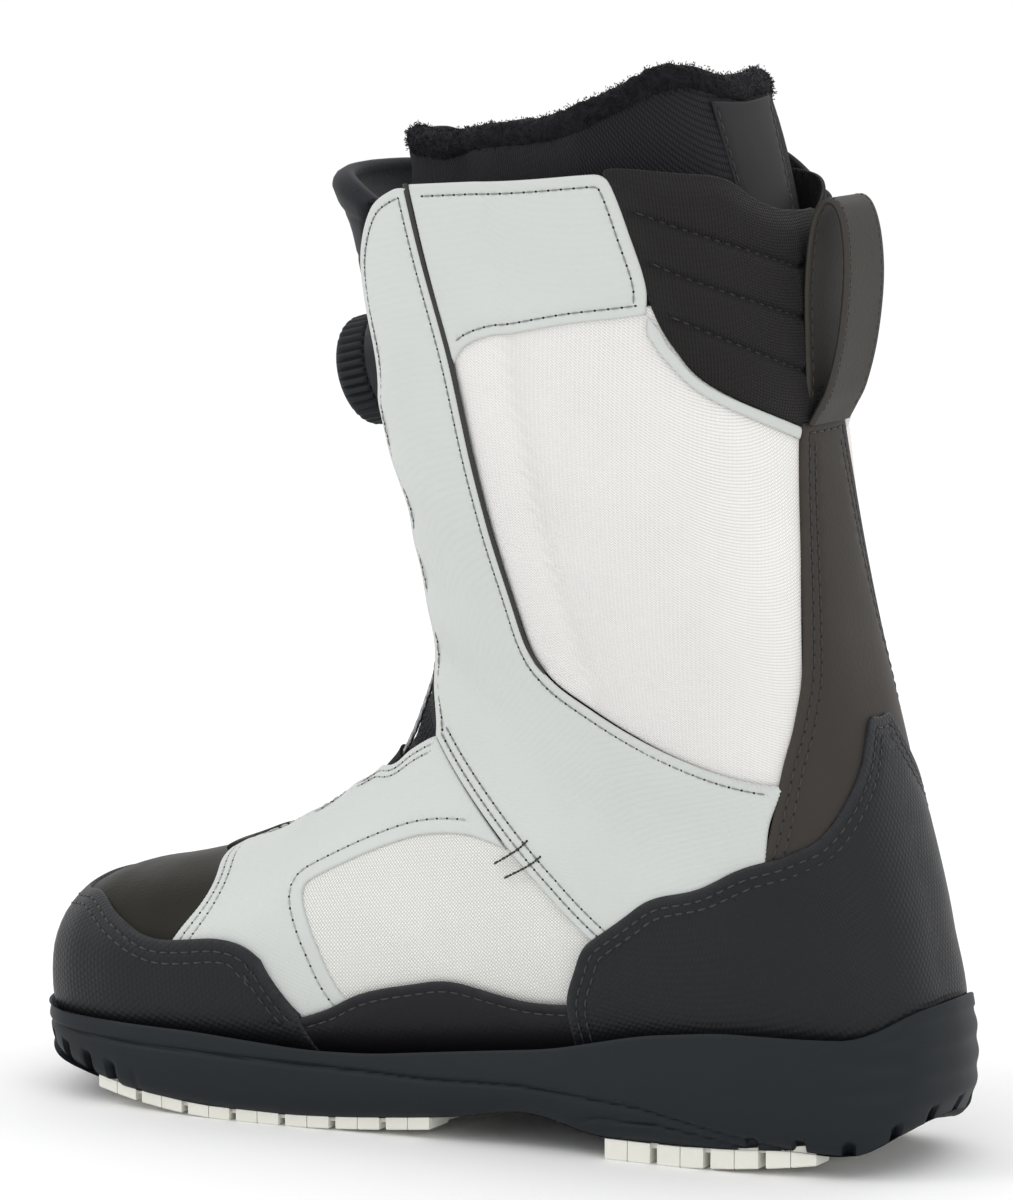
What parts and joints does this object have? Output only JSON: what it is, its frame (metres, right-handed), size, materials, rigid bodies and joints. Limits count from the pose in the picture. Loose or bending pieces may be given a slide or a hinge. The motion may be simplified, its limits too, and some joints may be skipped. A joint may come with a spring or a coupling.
{
  "type": "snowboard boot",
  "caption": "Right snowboard boot with a cup sole, panelled upper, tongue with a rotary lace closure, removable liner and heel pull loop.",
  "frame": {"origin": "on the floor under the middle of the boot's outline", "axes": "toe towards -X, heel towards +X, medial side towards -Y, lateral side towards +Y, leg up +Z"},
  "size_m": [0.305, 0.1202, 0.3267],
  "materials": {
    "sole_rubber": "moulded, matte black",
    "tread_rubber": "moulded, matte off-white",
    "fibre_board": "pressed fibre board",
    "footbed_cloth": "cloth on moulded foam",
    "laminate": "plain foam laminate",
    "black_cloth": "matte black cloth",
    "black_coated": "coated, fine dimples, dull sheen",
    "black_grained": "fine grain, matte",
    "pale_leather": "fine embossed grain, matte pale grey",
    "pale_woven": "plain woven, pale grey",
    "grey_strip": "matte dark grey",
    "tongue_skin": "matte black",
    "webbing": "woven webbing, charcoal",
    "lace_steel": "coated stranded cable",
    "dial_plastic": "moulded, satin black",
    "screw_steel": "plain",
    "liner_knit": "knitted, black",
    "pile": "short pile, black",
    "label": "plain, smooth, charcoal"
  },
  "bodies": {
    "foot": {"sole_cup": "sole_rubber", "forefoot_tread": "tread_rubber", "heel_tread": "tread_rubber", "lasting_board": "fibre_board", "footbed": "footbed_cloth", "foot_shell": "laminate", "ankle_gusset": "black_cloth", "toe_cap": "black_coated", "toe_box": "black_grained", "rand_medial": "black_coated", "rand_lateral": "black_coated", "heel_counter": "black_coated", "vamp_medial": "pale_leather", "vamp_lateral": "pale_leather", "vamp_window_medial": "pale_woven", "vamp_window_lateral": "pale_woven", "tongue_lower": "tongue_skin", "tongue_flex": "tongue_skin", "guide_vamp_medial": "webbing", "guide_vamp_lateral": "webbing", "guide_fore_medial": "webbing", "guide_fore_lateral": "webbing", "liner_foot": "liner_knit", "liner_ankle": "liner_knit"},
    "cuff": {"cuff_shell": "black_cloth", "quarter_medial": "pale_leather", "quarter_lateral": "pale_leather", "piping_medial": "grey_strip", "piping_lateral": "grey_strip", "cuff_window_medial": "pale_woven", "cuff_window_lateral": "pale_woven", "top_patch_medial": "pale_leather", "top_patch_lateral": "pale_leather", "collar": "black_cloth", "backstay": "black_grained", "liner_cuff": "liner_knit", "liner_tongue": "liner_knit", "pile_rim": "pile", "liner_label": "label"},
    "tongue": {"tongue_upper": "tongue_skin", "dial_base": "dial_plastic", "guide_top_medial": "webbing", "guide_top_lateral": "webbing", "guide_ankle_medial": "webbing", "guide_ankle_lateral": "webbing", "lace_cable": "lace_steel"},
    "drive": {"dial_drive": "dial_plastic", "dial_screw": "screw_steel"},
    "knob": {"dial_knob": "dial_plastic", "dial_cap": "dial_plastic"},
    "spool": {"dial_spool": "dial_plastic"},
    "loop": {"pull_loop": "webbing"}
  },
  "joints": [
    {"name": "cuff_flex", "type": "hinge", "parent": "foot", "child": "cuff", "pos_m": [0.075, 0, 0.085], "axis": [0, -1, 0], "range_deg": [0, 10], "stiffness_Nm_per_rad": 120, "deforming": ["ankle_gusset", "liner_ankle", "tongue_flex", "quarter_medial", "quarter_lateral", "backstay", "lace_cable"]},
    {"name": "tongue_open", "type": "hinge", "parent": "cuff", "child": "tongue", "pos_m": [-0.0235, 0, 0.1635], "axis": [0, -1, 0], "range_deg": [0, 7], "stiffness_Nm_per_rad": 2, "deforming": ["tongue_flex", "lace_cable"]},
    {"name": "dial_spin", "type": "hinge", "parent": "tongue", "child": "drive", "pos_m": [-0.03718, 0, 0.2286], "axis": [-0.9702, 0, -0.2423], "continuous": true},
    {"name": "dial_pop", "type": "slide", "parent": "drive", "child": "knob", "axis": [-0.9702, 0, -0.2423], "range_m": [0, 0.0045]},
    {"name": "spool_spin", "type": "hinge", "parent": "tongue", "child": "spool", "pos_m": [-0.03718, 0, 0.2286], "axis": [-0.9702, 0, -0.2423], "continuous": true},
    {"name": "loop_swing", "type": "hinge", "parent": "cuff", "child": "loop", "pos_m": [0.11, 0, 0.2205], "axis": [0, 1, 0], "range_deg": [0, 40], "stiffness_Nm_per_rad": 0.05}
  ],
  "couplings": [
    {"joint": "spool_spin", "follows": "dial_spin", "ratio": 1}
  ]
}
